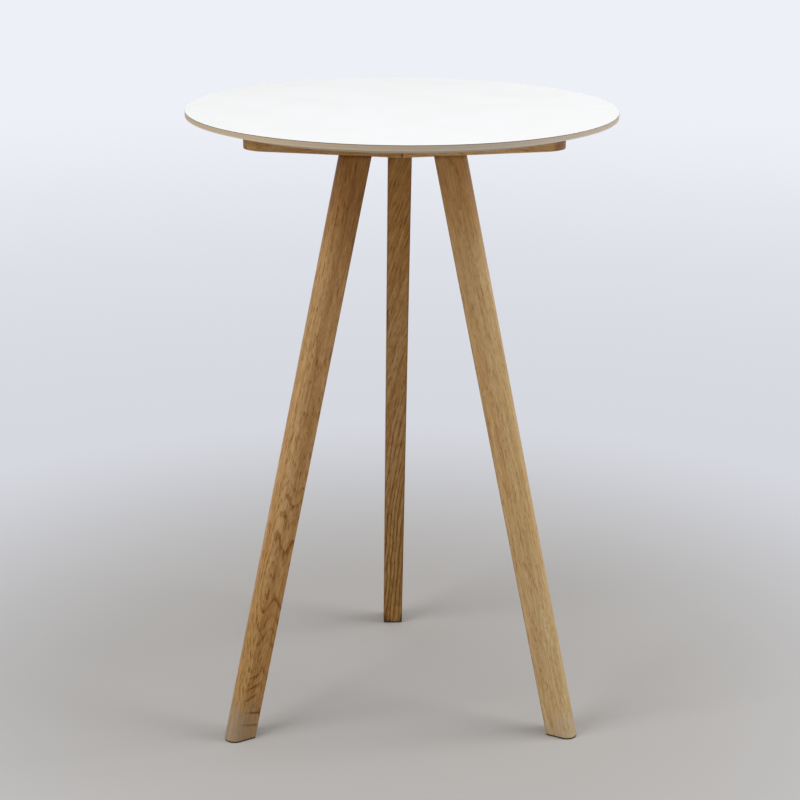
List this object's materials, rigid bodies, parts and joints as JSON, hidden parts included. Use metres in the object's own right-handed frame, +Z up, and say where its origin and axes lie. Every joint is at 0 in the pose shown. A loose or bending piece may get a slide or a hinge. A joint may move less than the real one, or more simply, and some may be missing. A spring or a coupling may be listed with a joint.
{
  "type": "standing meeting table",
  "caption": "Tall round standing table: thin white laminate top with a bevelled plywood edge on a tapered oak star frame and splayed oak legs with flat inner and round outer faces.",
  "frame": {"origin": "on the floor, under the middle of the round top", "axes": "+Z up through the middle of the top; +Y towards the rear leg; +X to the right as seen from the front"},
  "size_m": [0.6999, 0.7, 1.05],
  "materials": {
    "white_laminate": "matt laminate",
    "plywood": "clear lacquered edge",
    "backing_laminate": "matt",
    "oak": "matt lacquer",
    "beech": "bare",
    "zinc_steel": "zinc plated",
    "felt": "pressed felt"
  },
  "bodies": {
    "root": {"top_laminate": "white_laminate", "top_core": "plywood", "top_backing": "backing_laminate", "top_inserts": "zinc_steel", "top_screws": "zinc_steel", "top_screw_washers": "zinc_steel", "hub_plate": "zinc_steel", "hub_plate_screws": "zinc_steel", "leg_bolts": "zinc_steel", "leg_bolt_washers": "zinc_steel", "leg_inserts": "zinc_steel", "leg_dowels": "beech", "arm_right": "oak", "arm_rear": "oak", "arm_left": "oak", "leg_right": "oak", "leg_rear": "oak", "leg_left": "oak", "foot_pad_right": "felt", "foot_pad_rear": "felt", "foot_pad_left": "felt", "mitre_tongue_right": "beech", "mitre_tongue_left": "beech", "mitre_tongue_front": "beech"}
  },
  "joints": []
}
